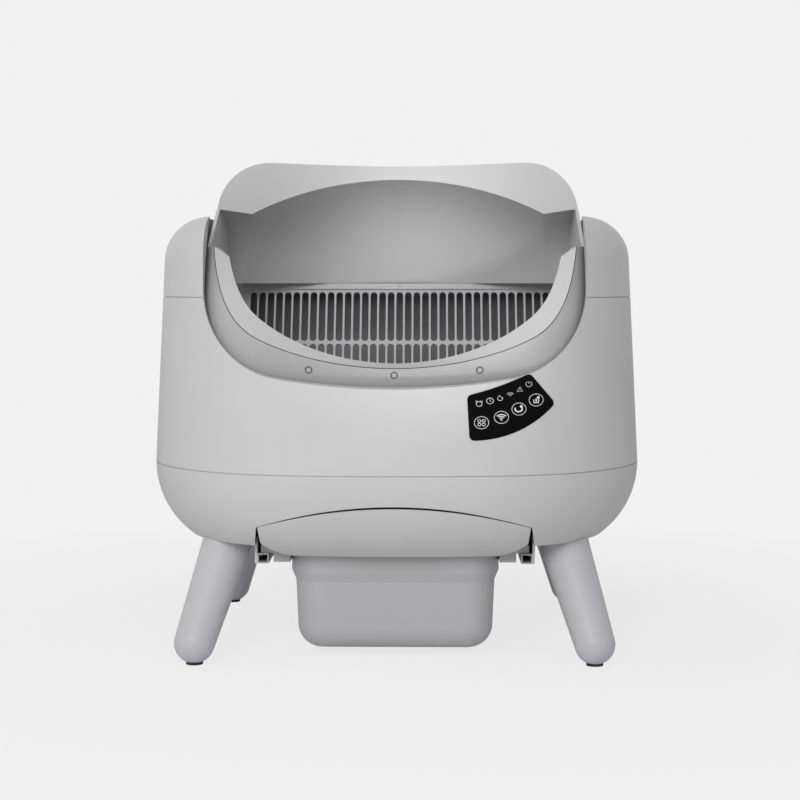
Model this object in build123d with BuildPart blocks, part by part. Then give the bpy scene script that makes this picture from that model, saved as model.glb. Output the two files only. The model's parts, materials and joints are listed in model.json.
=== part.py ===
# Self-cleaning litter box with an open-top turning drum, built as separate parts in one frame.
# Frame: X to the right, Y to the back, Z up, floor at Z = 0. Lengths in mm, angles in degrees.
import os
from math import cos, hypot, pi, radians, sin, sqrt, tan

from build123d import *

# Housing outline and heights
body_width = 606.0
body_depth = 540.0
front_arc_radius = 900.0
side_arc_radius = 800.0
plan_corner_radius = 215.0
body_bottom_z = 118.0
pan_floor_z = 140.0
low_seam_z = 229.0
high_seam_z = 432.0
body_top_z = 530.0
body_taper_deg = 2.9
shoulder_radius = 55.0
pan_edge_radius = 110.0
shell_wall = 3.0
seam_groove_depth = 1.4
seam_groove_height = 1.2

# Front and rear openings of the housing
opening_side_gap = 5.0
opening_bottom_z = 328.0
opening_crown_radius = 830.0
opening_corner_radius = 105.0

# Drum: a round barrel about an axis along X
axis_z = 388.0
drum_radius = 215.0
cheek_width = 74.0
drum_corner_radius = 68.0
drum_wall = 4.0
collar_rise = 5.0
collar_depth = 14.0
well_gap = 3.5
well_wall = 2.5

# Drum lip and collar, seen from the front
lip_front_inset = 30.0
lip_back_y = -100.0
lip_front_side_inset = 2.0
lip_back_side_inset = 33.0
lip_front_bottom_z = 342.5
lip_back_bottom_z = 376.0
lip_front_side_z = 474.0
lip_back_side_z = 514.0
collar_end_y = -116.0
collar_end_z = 492.0
collar_low_overhang = 3.0
collar_low_z = 314.0
collar_low_corner_radius = 112.0
bowl_lip_side_inset = 4.5
bowl_lip_z = 333.0
bowl_lip_corner_radius = 107.0

# Hood with its scooped inner wall
hood_bottom_z = 448.0
hood_wall = 3.0
rim_middle_y = 40.0
rim_side_y = -15.0
rim_side_overhang = 11.0
scoop_radius = 198.0
scoop_bow_radius = 378.0
side_scoop_y = 4.0
side_scoop_z = 423.5
side_scoop_middle_radius = 85.0
side_scoop_end_radius = 119.5
hood_vent_radius = 6.0
hood_vent_inset = 44.0
hood_vent_y = 148.0

# Sieve grate
sieve_top_y = 180.0
sieve_top_z = 446.0
sieve_foot_y = 60.0
sieve_foot_z = 186.0
sieve_thick = 3.0
sieve_slot_width = 9.2
sieve_slot_length = 73.0
sieve_slot_pitch = 11.8
sieve_row_pitch = 77.4
sieve_top_margin = 11.0
sieve_side_margin = 15.0
sieve_slots_fewer = 8
sieve_rail_height = 8.0
sieve_rail_depth = 7.0
sieve_screw_radius = 1.6

# Bearings and drive
flange_radius = 60.0
flange_thick = 5.0
trunnion_bolts = 6
journal_radius = 24.0
bush_wall = 6.0
bush_fit = 0.05
bush_flange_radius = 38.0
bush_flange_thick = 3.0
boss_radius = 42.0
boss_length = 14.0
gear_module = 2.5
ring_teeth = 64
pinion_teeth = 16
gear_face = 12.0
pinion_hub_length = 6.0
gear_web = 5.0
gear_rim = 10.0
gear_hub_radius = 34.0
spoke_holes = 6
gear_backlash = 0.5
dedendum_share = 1.25
pressure_deg = 20.0
half_step_share = 0.5
retainer_radius = 28.0
retainer_thick = 3.0
motor_radius = 32.0
motor_thick = 20.0
motor_ear_span = 94.0
motor_ear_width = 14.0
motor_ear_thick = 3.0
shaft_radius = 5.0
shaft_depth = 12.0
pinion_hub_radius = 10.0
sensor_size = 12.0
sensor_thick = 6.0
magnet_radius = 4.0
magnet_thick = 2.0
magnet_orbit = 53.0

# Discharge chute
chute_side_inset = 20.0
chute_front_y = -130.0
chute_back_y = 85.0
chute_bottom_z = 154.0
chute_wall = 2.5

# Waste drawer
bin_side_inset = 178.0
bin_front_y = -183.0
bin_back_y = 112.0
bin_corner_radius = 40.0
bin_rim_z = 151.0
bin_step_z = 104.0
bin_tub_z = 92.0
bin_step = 5.0
bin_bottom_z = 9.0
bin_taper_deg = 2.5
bin_edge_radius = 28.0
bin_wall = 2.5
flange_bottom_z = 127.0
flange_height = 10.0
flange_side_gap = 4.0
flange_wall = 2.5
guide_side_gap = 5.5
guide_height = 11.0
guide_length = 40.0
rail_side_inset = 139.0
rail_width = 13.5
rail_height = 12.0
rail_wall = 1.6
rail_front_y = -178.0
rail_back_y = 112.0
slide_fit = 0.1
tunnel_wall = 3.0
tunnel_top_z = 147.0
tunnel_back_y = 124.0
panel_top_z = 191.0
panel_corner_z = 165.5
panel_corner_inset = 5.0
panel_side_z = 144.0
panel_side_inset = 7.0
panel_turn_inset = 21.0
panel_turn_z = 134.0
panel_foot_inset = 43.0
panel_foot_z = 127.0
panel_top_gap = 2.6
panel_side_gap = 1.4
panel_boss_inset = 51.0
panel_boss_z = 140.0
panel_boss_radius = 7.0

# Legs
foot_side_inset = 67.0
foot_front_inset = 62.0
foot_center_z = 25.0
foot_radius = 24.0
foot_flat_z = 1.5
leg_top_side_inset = 100.0
leg_top_front_inset = 140.0
leg_top_radius = 30.0
leg_overrun = 45.0
pad_radius = 10.0
pad_thick = 4.0
leg_gap = 0.2
leg_bolt_radius = 3.0
leg_bolt_depth = 26.0
leg_boss_radius = 13.0
leg_boss_height = 12.0
leg_washer_radius = 9.0
leg_washer_thick = 1.6

# Control lens and boards
lens_left_inset = 219.0
lens_top_left_z = 321.0
lens_top_mid_inset = 184.0
lens_top_mid_z = 331.0
lens_top_right_inset = 147.0
lens_top_right_z = 346.0
lens_right_inset = 117.0
lens_right_z = 311.0
lens_low_mid_inset = 159.0
lens_low_mid_z = 281.0
lens_low_left_inset = 216.0
lens_low_left_z = 270.0
lens_corner_radius = 6.0
lens_thick = 2.0
lens_proud = 0.4
lens_pocket_gap = 0.3
board_thick = 1.6
panel_board_width = 76.0
panel_board_height = 40.0
panel_board_side_inset = 175.0
panel_board_front_inset = 38.0
panel_board_z = 307.0
panel_board_turn_deg = 17.0
post_radius = 3.0
main_board_width = 140.0
main_board_depth = 34.0
main_board_y = 150.0
main_board_lift = 8.0
chip_size = 12.0
chip_thick = 2.0
inlet_z = 250.0
inlet_radius = 8.0
inlet_length = 18.0
inlet_bore_radius = 3.0
inlet_flange_radius = 11.0
inlet_flange_thick = 2.0

# Screws
screw_radius = 2.0
screw_head_radius = 4.0
screw_head_height = 2.4
screw_length = 12.0
collar_head_gap = 0.8
collar_screw_inset = 129.5
collar_screw_low_deg = 12.2
collar_screw_high_deg = 10.5
cap_boss_inset = 30.0
cap_boss_y = 115.0
cap_boss_radius = 8.0
cap_boss_height = 24.0
body_boss_inset = 14.0
body_boss_radius = 12.0
well_post_inset = 103.0
well_post_y = 90.0
well_post_radius = 8.0
fit_gap = 0.2
cut_over = 60.0

# Derived values
half_w = body_width / 2
half_d = body_depth / 2
drum_half_width = half_w - cheek_width
opening_half_width = drum_half_width - opening_side_gap
lip_front_y = -half_d + lip_front_inset
lip_front_half_width = drum_half_width - lip_front_side_inset
lip_back_half_width = drum_half_width - lip_back_side_inset
collar_low_half_width = drum_half_width + collar_low_overhang
bowl_lip_half_width = drum_half_width - bowl_lip_side_inset
rim_side_x = drum_half_width + rim_side_overhang
rail_outer_x = half_w - rail_side_inset
rail_bottom_z = flange_bottom_z - rail_height
bin_half = half_w - bin_side_inset
chute_half_width = bin_half - chute_side_inset
panel_corner_x = rail_outer_x - panel_corner_inset
panel_side_x = rail_outer_x - panel_side_inset
panel_turn_x = rail_outer_x - panel_turn_inset
panel_foot_x = rail_outer_x - panel_foot_inset
panel_boss_x = panel_foot_x - panel_boss_inset
foot_x = half_w - foot_side_inset
foot_y = half_d - foot_front_inset
leg_top_x = half_w - leg_top_side_inset
leg_top_y = half_d - leg_top_front_inset
lens_left_x = half_w - lens_left_inset
lens_top_mid_x = half_w - lens_top_mid_inset
lens_top_right_x = half_w - lens_top_right_inset
lens_right_x = half_w - lens_right_inset
lens_low_mid_x = half_w - lens_low_mid_inset
lens_low_left_x = half_w - lens_low_left_inset
panel_board_x = half_w - panel_board_side_inset
panel_board_y = -half_d + panel_board_front_inset
main_board_z = pan_floor_z + shell_wall + main_board_lift
cap_boss_x = half_w - cap_boss_inset
well_post_x = half_w - well_post_inset
collar_screw_x = drum_half_width - collar_screw_inset
well_grow = collar_rise + well_gap
liner_grow = well_grow + well_wall
ring_pitch_radius = gear_module * ring_teeth / 2
pinion_pitch_radius = gear_module * pinion_teeth / 2
pinion_z = axis_z - ring_pitch_radius - pinion_pitch_radius
well_half_width = drum_half_width + well_grow
liner_half_width = drum_half_width + liner_grow
gear_start_x = liner_half_width + motor_thick + pinion_hub_length
drum_axis = Axis((0, 0, axis_z), (1, 0, 0))
drum_plane = Plane(origin=(0, 0, axis_z), x_dir=(1, 0, 0), z_dir=(0, -1, 0))
corner_signs = [(-1, -1), (1, -1), (-1, 1), (1, 1)]

os.makedirs("parts", exist_ok=True)


def save(part, label):
    part.label = label
    export_step(part, "parts/" + label + ".step")


# Corner of the housing's plan outline: an arc tangent to the front arc and the side arc
front_y = front_arc_radius - half_d
side_x = half_w - side_arc_radius
front_reach = front_arc_radius - plan_corner_radius
side_reach = side_arc_radius - plan_corner_radius
span = hypot(side_x, front_y)
along = (front_reach**2 - side_reach**2 + span**2) / (2 * span)
across = sqrt(front_reach**2 - along**2)
corner_x = (along * side_x + across * front_y) / span
corner_y = front_y - (along * front_y - across * side_x) / span
front_dir = Vector(corner_x, corner_y - front_y).normalized()
side_dir = Vector(corner_x - side_x, corner_y).normalized()
mid_dir = (front_dir + side_dir).normalized()
body_boss_spot = Vector(corner_x, corner_y) + mid_dir * (plan_corner_radius - body_boss_inset)


# Housing forms shared by the shells, the drawer front, the lens and the legs
def oval(inset):
    front_end = Vector(0, front_y) + front_dir * (front_arc_radius - inset)
    side_end = Vector(side_x, 0) + side_dir * (side_arc_radius - inset)
    corner_mid = Vector(corner_x, corner_y) + mid_dir * (plan_corner_radius - inset)
    with BuildSketch() as sketch:
        with BuildLine():
            for sy in (-1, 1):
                near = [(sx * front_end.X, -sy * front_end.Y) for sx in (-1, 1)]
                far = [(sx * side_end.X, -sy * side_end.Y) for sx in (-1, 1)]
                mid = [(sx * corner_mid.X, -sy * corner_mid.Y) for sx in (-1, 1)]
                ThreePointArc(near[0], (0, sy * (half_d - inset)), near[1])
                ThreePointArc(near[0], mid[0], far[0])
                ThreePointArc(near[1], mid[1], far[1])
            for sx in (-1, 1):
                ends = [(sx * side_end.X, sy * side_end.Y) for sy in (-1, 1)]
                ThreePointArc(ends[0], (sx * (half_w - inset), 0), ends[1])
        make_face()
    return sketch.sketch


def upper_form(inset):
    outline = oval(inset)
    with BuildPart() as form:
        with BuildSketch(Plane.XY.offset(low_seam_z)):
            add(outline)
        extrude(amount=body_top_z - inset - low_seam_z, taper=body_taper_deg)
        fillet(form.faces().sort_by(Axis.Z)[-1].edges(), shoulder_radius - inset)
    return form.part


def round_form(inset):
    outline = oval(inset)
    with BuildPart() as form:
        with BuildSketch(Plane.XY.offset(body_bottom_z + inset)):
            add(outline)
        extrude(amount=low_seam_z - body_bottom_z - inset)
        fillet(form.faces().sort_by(Axis.Z)[0].edges(), pan_edge_radius - inset)
    return form.part


def slab(x_low, x_high, y_low, y_high, z_low, z_high):
    with BuildPart() as form:
        with Locations(((x_low + x_high) / 2, (y_low + y_high) / 2, (z_low + z_high) / 2)):
            Box(x_high - x_low, y_high - y_low, z_high - z_low)
    return form.part


# The lower shell's form: the rounded form cut off at the flat floor
def lower_form(inset):
    rounded = round_form(inset)
    below = slab(-body_width, body_width, -body_depth, body_depth, 0, pan_floor_z + inset)
    with BuildPart() as form:
        add(rounded)
        add(below, mode=Mode.SUBTRACT)
    return form.part


def barrel(grow):
    radius = drum_radius + grow
    half = drum_half_width + grow
    with BuildPart() as form:
        with BuildSketch(drum_plane) as profile:
            with Locations((0, radius / 2)):
                Rectangle(2 * half, radius)
            fillet(profile.vertices().group_by(Axis.Y)[-1], drum_corner_radius + grow)
        revolve(axis=drum_axis)
    return form.part


def rod(radius, x_low, x_high, center_y=0, center_z=axis_z):
    with BuildPart() as form:
        with BuildSketch(Plane(origin=(x_low, center_y, center_z), x_dir=(0, 1, 0), z_dir=(1, 0, 0))):
            Circle(radius)
        extrude(amount=x_high - x_low)
    return form.part


def u_prism(half_width, bottom_z, corner, y_low, y_high):
    rise = opening_crown_radius - sqrt(opening_crown_radius**2 - half_width**2)
    side_z = bottom_z + rise
    top_z = body_top_z + drum_radius
    with BuildPart() as form:
        with BuildSketch(Plane.XZ.offset(-y_high)) as outline:
            with BuildLine():
                ThreePointArc((-half_width, side_z), (0, bottom_z), (half_width, side_z))
                Polyline(
                    (half_width, side_z), (half_width, top_z), (-half_width, top_z), (-half_width, side_z)
                )
            make_face()
            fillet(outline.vertices().group_by(Axis.Y)[0], corner)
        extrude(amount=y_high - y_low)
    return form.part


def opening(grow):
    half = opening_half_width + grow
    front = u_prism(half, opening_bottom_z - grow, opening_corner_radius + grow, -half_d - cut_over, 0)
    rear = slab(-half, half, 0, half_d + cut_over, high_seam_z - grow, body_top_z + cut_over)
    with BuildPart() as form:
        add(front)
        add(rear)
    return form.part


def seam_groove(z):
    outside = oval(-cut_over)
    inside = oval(seam_groove_depth + (z - low_seam_z) * tan(radians(body_taper_deg)))
    with BuildPart() as form:
        with BuildSketch(Plane.XY.offset(z - seam_groove_height / 2)):
            add(outside)
            add(inside, mode=Mode.SUBTRACT)
        extrude(amount=seam_groove_height)
    return form.part


def upright_rods(points, radius, z_low, z_high):
    with BuildPart() as form:
        with BuildSketch(Plane.XY.offset(z_low)):
            with Locations(*points):
                Circle(radius)
        extrude(amount=z_high - z_low)
    return form.part


# Leg axis: from the ball of the foot up into the lower shell
leg_axis_x = leg_top_x - foot_x
leg_axis_y = leg_top_y - foot_y
leg_axis_z = pan_floor_z - foot_center_z
leg_length = sqrt(leg_axis_x**2 + leg_axis_y**2 + leg_axis_z**2)


def leg_plane(sx, sy, along):
    share = along / leg_length
    center = (
        sx * (foot_x + share * leg_axis_x),
        sy * (foot_y + share * leg_axis_y),
        foot_center_z + share * leg_axis_z,
    )
    return Plane(origin=center, x_dir=(0, 1, 0), z_dir=(sx * leg_axis_x, sy * leg_axis_y, leg_axis_z))


def leg_rod(sx, sy, radius, along_low, along_high):
    with BuildPart() as form:
        with BuildSketch(leg_plane(sx, sy, along_low)):
            Circle(radius)
        extrude(amount=along_high - along_low)
    return form.part


outer_upper = upper_form(0)
inner_upper = upper_form(shell_wall)
outer_lower = lower_form(0)
inner_lower = lower_form(shell_wall)
clip_lower = lower_form(shell_wall / 3)
clip_round = round_form(shell_wall / 3)
clip_upper = upper_form(shell_wall / 3)
drum_outer = barrel(0)
drum_inner = barrel(-drum_wall)
well_inner = barrel(well_grow)
liner_outer = barrel(liner_grow)
liner_clear = barrel(liner_grow + fit_gap)
cap_boss_points = [(sx * cap_boss_x, sy * cap_boss_y) for sx, sy in corner_signs]
body_boss_points = [(sx * body_boss_spot.X, sy * body_boss_spot.Y) for sx, sy in corner_signs]


# Drawer front outline in the front view, grown by the gaps for the notch in the lower shell
def panel_prism(top_gap, side_gap, open_foot):
    with BuildPart() as form:
        with BuildSketch(Plane.XZ.offset(0)):
            with BuildLine():
                top_x = panel_corner_x + side_gap
                low_x = panel_side_x + side_gap
                if open_foot:
                    low_z = body_bottom_z - cut_over
                    low_x = rail_outer_x
                    ThreePointArc(
                        (-top_x, panel_corner_z), (0, panel_top_z + top_gap), (top_x, panel_corner_z)
                    )
                    Polyline(
                        (top_x, panel_corner_z), (low_x, panel_side_z), (low_x, low_z),
                        (-low_x, low_z), (-low_x, panel_side_z), (-top_x, panel_corner_z),
                    )
                else:
                    ThreePointArc((-top_x, panel_corner_z), (0, panel_top_z), (top_x, panel_corner_z))
                    Line((top_x, panel_corner_z), (low_x, panel_side_z))
                    ThreePointArc(
                        (low_x, panel_side_z), (panel_turn_x, panel_turn_z), (panel_foot_x, panel_foot_z)
                    )
                    Line((panel_foot_x, panel_foot_z), (-panel_foot_x, panel_foot_z))
                    ThreePointArc(
                        (-panel_foot_x, panel_foot_z), (-panel_turn_x, panel_turn_z), (-low_x, panel_side_z)
                    )
                    Line((-low_x, panel_side_z), (-top_x, panel_corner_z))
            make_face()
        extrude(amount=half_d + cut_over)
    return form.part


# Pieces cut to a form and gathered before they join a shell
def gathered(pieces, clip_form, cut_form):
    with BuildPart() as form:
        for piece in pieces:
            add(piece)
        add(clip_form, mode=Mode.INTERSECT)
        if cut_form is not None:
            add(cut_form, mode=Mode.SUBTRACT)
    return form.part


# Base pan: lower shell with the drawer tunnel, bosses and posts
well_post_points = [(sx * well_post_x, sy * well_post_y) for sx, sy in corner_signs]
board_post_x = main_board_width / 2 - 2 * post_radius
board_post_y = main_board_depth / 2 - 2 * post_radius
board_post_points = [(sx * board_post_x, main_board_y + sy * board_post_y) for sx, sy in corner_signs]
tunnel_x = rail_outer_x + tunnel_wall
pan_inside = [
    slab(rail_outer_x, tunnel_x, -half_d, tunnel_back_y, pan_floor_z, tunnel_top_z),
    slab(-tunnel_x, -rail_outer_x, -half_d, tunnel_back_y, pan_floor_z, tunnel_top_z),
    upright_rods(body_boss_points, body_boss_radius, low_seam_z - cap_boss_height, low_seam_z),
    upright_rods(well_post_points, well_post_radius, pan_floor_z, low_seam_z),
    upright_rods(board_post_points, post_radius, pan_floor_z, main_board_z),
]
for sx, sy in corner_signs:
    pan_inside.append(
        leg_rod(sx, sy, leg_boss_radius, leg_length - leg_boss_height, leg_length + leg_boss_height)
    )
tunnel_end_y = tunnel_back_y + tunnel_wall
hanging_walls = [
    slab(rail_outer_x, tunnel_x, rail_front_y, tunnel_end_y, rail_bottom_z, tunnel_top_z),
    slab(-tunnel_x, -rail_outer_x, rail_front_y, tunnel_end_y, rail_bottom_z, tunnel_top_z),
    slab(-tunnel_x, tunnel_x, tunnel_back_y, tunnel_end_y, rail_bottom_z, tunnel_top_z),
]
pan_cuts = [
    slab(-rail_outer_x, rail_outer_x, -half_d, tunnel_back_y, body_bottom_z - cut_over, tunnel_top_z),
    panel_prism(panel_top_gap, panel_side_gap, True),
    upright_rods(body_boss_points, screw_radius + fit_gap, low_seam_z - cap_boss_height, low_seam_z),
    seam_groove(low_seam_z),
]
for sx, sy in corner_signs:
    pan_cuts.append(leg_rod(sx, sy, leg_bolt_radius + fit_gap, 0, leg_length + cut_over))
rail_mid_z = flange_bottom_z - rail_height / 2
rail_screw_ys = [rail_front_y + cut_over / 2, rail_back_y - cut_over / 2]
for y in rail_screw_ys:
    pan_cuts.append(rod(screw_radius + bush_fit, -tunnel_x, tunnel_x, y, rail_mid_z))
pan_work = gathered(pan_inside, clip_lower, liner_clear)
with BuildPart() as base_pan:
    add(outer_lower)
    add(inner_lower, mode=Mode.SUBTRACT)
    add(pan_work)
    for wall in hanging_walls:
        add(wall)
    for cut in pan_cuts:
        add(cut, mode=Mode.SUBTRACT)
save(base_pan.part, "base_pan")


# Control lens outline in the front view
def lens_prism(grow):
    with BuildPart() as form:
        with BuildSketch(Plane.XZ) as outline:
            with BuildLine():
                ThreePointArc(
                    (lens_left_x, lens_top_left_z),
                    (lens_top_mid_x, lens_top_mid_z),
                    (lens_top_right_x, lens_top_right_z),
                )
                Line((lens_top_right_x, lens_top_right_z), (lens_right_x, lens_right_z))
                ThreePointArc(
                    (lens_right_x, lens_right_z),
                    (lens_low_mid_x, lens_low_mid_z),
                    (lens_low_left_x, lens_low_left_z),
                )
                Line((lens_low_left_x, lens_low_left_z), (lens_left_x, lens_top_left_z))
            make_face()
            fillet(outline.vertices(), lens_corner_radius)
            if grow:
                offset(amount=grow)
        extrude(amount=half_d + cut_over)
    return form.part


def rear_rod(radius, y_low, y_high, x, z):
    with BuildPart() as form:
        with BuildSketch(Plane(origin=(x, y_low, z), x_dir=(-1, 0, 0), z_dir=(0, 1, 0))):
            Circle(radius)
        extrude(amount=y_high - y_low)
    return form.part


opening_cut = opening(0)
opening_deck = opening(shell_wall)
panel_board_plane = Plane(
    origin=(panel_board_x, panel_board_y, panel_board_z),
    x_dir=(cos(radians(panel_board_turn_deg)), sin(radians(panel_board_turn_deg)), 0),
    z_dir=(sin(radians(panel_board_turn_deg)), -cos(radians(panel_board_turn_deg)), 0),
)
panel_post_x = panel_board_width / 2 - 2 * post_radius
panel_post_z = panel_board_height / 2 - 2 * post_radius
panel_post_points = [(sx * panel_post_x, sy * panel_post_z) for sx, sy in corner_signs]
with BuildPart() as panel_posts:
    with BuildSketch(panel_board_plane):
        with Locations(*panel_post_points):
            Circle(post_radius)
    extrude(amount=cut_over)

# Skin of the upper housing: outer wall plus the deck that turns in around the drum
with BuildPart() as inside_upper:
    add(inner_upper)
    add(opening_deck, mode=Mode.SUBTRACT)
with BuildPart() as upper_skin:
    add(outer_upper)
    add(inside_upper.part, mode=Mode.SUBTRACT)
    add(opening_cut, mode=Mode.SUBTRACT)

# Inlet seat in the rear wall: the wall leans in by the taper
inlet_wall_y = half_d - (inlet_z - low_seam_z) * tan(radians(body_taper_deg))

# Body shell between the two seams
shell_inside = [
    upright_rods(cap_boss_points, cap_boss_radius, high_seam_z - cap_boss_height, high_seam_z),
    upright_rods(body_boss_points, body_boss_radius, low_seam_z, low_seam_z + cap_boss_height),
    panel_posts.part,
]
shell_work = gathered(shell_inside, clip_upper, None)
lens_seat = lens_prism(lens_pocket_gap)
lens_floor = upper_form(lens_thick - lens_proud + fit_gap)
with BuildPart() as lens_pocket:
    add(lens_seat)
    add(lens_floor, mode=Mode.SUBTRACT)
shell_cuts = [
    slab(-half_w, half_w, -half_d, half_d, high_seam_z, body_top_z + cut_over),
    liner_clear,
    lens_pocket.part,
    upright_rods(cap_boss_points, screw_radius + fit_gap, high_seam_z - cap_boss_height, high_seam_z),
    upright_rods(body_boss_points, screw_radius + fit_gap, low_seam_z, low_seam_z + cap_boss_height),
    rear_rod(inlet_radius + fit_gap, half_d - cut_over, half_d + cut_over, 0, inlet_z),
    seam_groove(low_seam_z),
    seam_groove(high_seam_z),
]
with BuildPart() as body_shell:
    add(upper_skin.part)
    add(shell_work)
    for cut in shell_cuts:
        add(cut, mode=Mode.SUBTRACT)
save(body_shell.part, "body_shell")

# Side caps above the upper seam
for label, sx in (("left_side_cap", -1), ("right_side_cap", 1)):
    cap_points = [(sx * cap_boss_x, sy * cap_boss_y) for sy in (-1, 1)]
    cap_rods = upright_rods(cap_points, cap_boss_radius, high_seam_z, high_seam_z + cap_boss_height)
    cap_bosses = gathered([cap_rods], clip_upper, None)
    cap_bores = upright_rods(
        cap_points, screw_radius + fit_gap, high_seam_z, high_seam_z + cap_boss_height - 2 * screw_radius
    )
    below = slab(-half_w, half_w, -half_d, half_d, low_seam_z - cut_over, high_seam_z)
    far_x = -sx * half_w
    beside = slab(min(far_x, 0), max(far_x, 0), -half_d, half_d, 0, body_top_z + cut_over)
    with BuildPart() as side_cap:
        add(upper_skin.part)
        add(cap_bosses)
        for cut in (below, beside, liner_clear, cap_bores, seam_groove(high_seam_z)):
            add(cut, mode=Mode.SUBTRACT)
    save(side_cap.part, label)

# Drum well: liner around the drum, with the discharge chute and the bearing bosses
well_clip = upper_form(fit_gap)
chute_x = chute_half_width + chute_wall
chute_outer = slab(
    -chute_x, chute_x, chute_front_y - chute_wall, chute_back_y + chute_wall, chute_bottom_z, low_seam_z
)
chute_hole = slab(
    -chute_half_width, chute_half_width, chute_front_y, chute_back_y, body_bottom_z, axis_z - flange_radius
)
motor_face_x = liner_half_width
ear_reach = motor_ear_span / 2
ear_screw_y = ear_reach - motor_ear_width / 2
well_lower = slab(-half_w, half_w, -half_d, half_d, 0, low_seam_z)
with BuildPart() as well_keep:
    add(well_clip)
    add(well_lower)
boss_end_x = liner_half_width + boss_length
well_bosses = rod(boss_radius, -boss_end_x, boss_end_x)
well_cuts = [
    well_inner,
    chute_hole,
    opening_cut,
    rod(journal_radius + bush_wall, -half_w, half_w),
    rod(screw_radius + bush_fit, well_half_width, half_w, -ear_screw_y, pinion_z),
    rod(screw_radius + bush_fit, well_half_width, half_w, ear_screw_y, pinion_z),
]
with BuildPart() as drum_well:
    add(liner_outer)
    add(chute_outer)
    add(well_bosses)
    for cut in well_cuts:
        add(cut, mode=Mode.SUBTRACT)
    add(well_keep.part, mode=Mode.INTERSECT)
save(drum_well.part, "drum_well")


# Lip cutter: a U that narrows toward the inside, so the collar's top edge slopes inward
half_turn_deg = 180.0


def lip_section(y, half_width, bottom_z, side_z):
    top_z = body_top_z + drum_radius
    with BuildSketch(Plane(origin=(0, y, side_z), x_dir=(-1, 0, 0), z_dir=(0, 1, 0))) as section:
        with BuildLine():
            EllipticalCenterArc(
                (0, 0), half_width, side_z - bottom_z, start_angle=half_turn_deg, arc_size=half_turn_deg
            )
            Polyline(
                (half_width, 0), (half_width, top_z - side_z), (-half_width, top_z - side_z), (-half_width, 0)
            )
        make_face()
    return section.sketch


lip_front = lip_section(lip_front_y, lip_front_half_width, lip_front_bottom_z, lip_front_side_z)
lip_back = lip_section(lip_back_y, lip_back_half_width, lip_back_bottom_z, lip_back_side_z)
with BuildPart() as lip_cutter:
    add(lip_front)
    add(lip_back)
    loft(ruled=True)

# Front collar: a thick U-shaped trim that straddles the bowl's edge
collar_outer = barrel(collar_rise)
collar_inner = barrel(-collar_depth)
bowl_lip = u_prism(bowl_lip_half_width, bowl_lip_z, bowl_lip_corner_radius, lip_front_y, 0)
collar_reach = u_prism(
    collar_low_half_width, collar_low_z, collar_low_corner_radius, -half_d, collar_end_y
)
groove_outer = barrel(fit_gap)
groove_inner = barrel(-drum_wall - fit_gap)
with BuildPart() as collar_groove:
    add(groove_outer)
    add(groove_inner, mode=Mode.SUBTRACT)
    add(bowl_lip, mode=Mode.SUBTRACT)


# Radial screw places on the collar: X position and angle below the horizontal
collar_screw_places = [
    (-collar_screw_x, collar_screw_high_deg),
    (0, collar_screw_low_deg),
    (collar_screw_x, collar_screw_high_deg),
]


def radial_rod(x, angle_deg, radius, r_low, r_high):
    out = Vector(0, -cos(radians(angle_deg)), -sin(radians(angle_deg)))
    origin = Vector(x, 0, axis_z) + out * r_low
    with BuildPart() as form:
        with BuildSketch(Plane(origin=origin, x_dir=(1, 0, 0), z_dir=out)):
            Circle(radius)
        extrude(amount=r_high - r_low)
    return form.part


collar_face_radius = drum_radius + collar_rise
collar_top = slab(-half_w, half_w, -half_d, 0, collar_end_z, body_top_z + drum_radius)
collar_holes = []
for x, angle in collar_screw_places:
    head_r = collar_face_radius - screw_head_height
    collar_holes.append(radial_rod(x, angle, screw_head_radius + collar_head_gap, head_r, half_d))
    collar_holes.append(radial_rod(x, angle, screw_radius + fit_gap, drum_radius - cut_over, half_d))
with BuildPart() as front_collar:
    add(collar_outer)
    add(collar_inner, mode=Mode.SUBTRACT)
    add(collar_reach, mode=Mode.INTERSECT)
    add(lip_cutter.part, mode=Mode.SUBTRACT)
    add(collar_top, mode=Mode.SUBTRACT)
    add(collar_groove.part, mode=Mode.SUBTRACT)
    for hole in collar_holes:
        add(hole, mode=Mode.SUBTRACT)
save(front_collar.part, "front_collar")

# Collar screws: plain round heads, each in a wider counterbore
with BuildPart() as collar_screws:
    for x, angle in collar_screw_places:
        out = Vector(0, -cos(radians(angle)), -sin(radians(angle)))
        face = Plane(
            origin=Vector(x, 0, axis_z) + out * (collar_face_radius - fit_gap), x_dir=(1, 0, 0), z_dir=out
        )
        with BuildSketch(face):
            Circle(screw_head_radius)
        extrude(amount=fit_gap - screw_head_height)
        with BuildSketch(face):
            Circle(screw_radius)
        extrude(amount=-screw_length - screw_head_height)
save(collar_screws.part, "collar_screws")

# Bolt circle of the trunnions
bolt_orbit = flange_radius - 3 * screw_head_radius


def end_points(orbit, count):
    return [
        (orbit * cos(2 * pi * i / count), axis_z + orbit * sin(2 * pi * i / count)) for i in range(count)
    ]


def end_rods(points, radius, x_low, x_high):
    with BuildPart() as form:
        with BuildSketch(Plane(origin=(x_low, 0, 0), x_dir=(0, 1, 0), z_dir=(1, 0, 0))):
            with Locations(*points):
                Circle(radius)
        extrude(amount=x_high - x_low)
    return form.part


bolt_points = end_points(bolt_orbit, trunnion_bolts)

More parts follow.
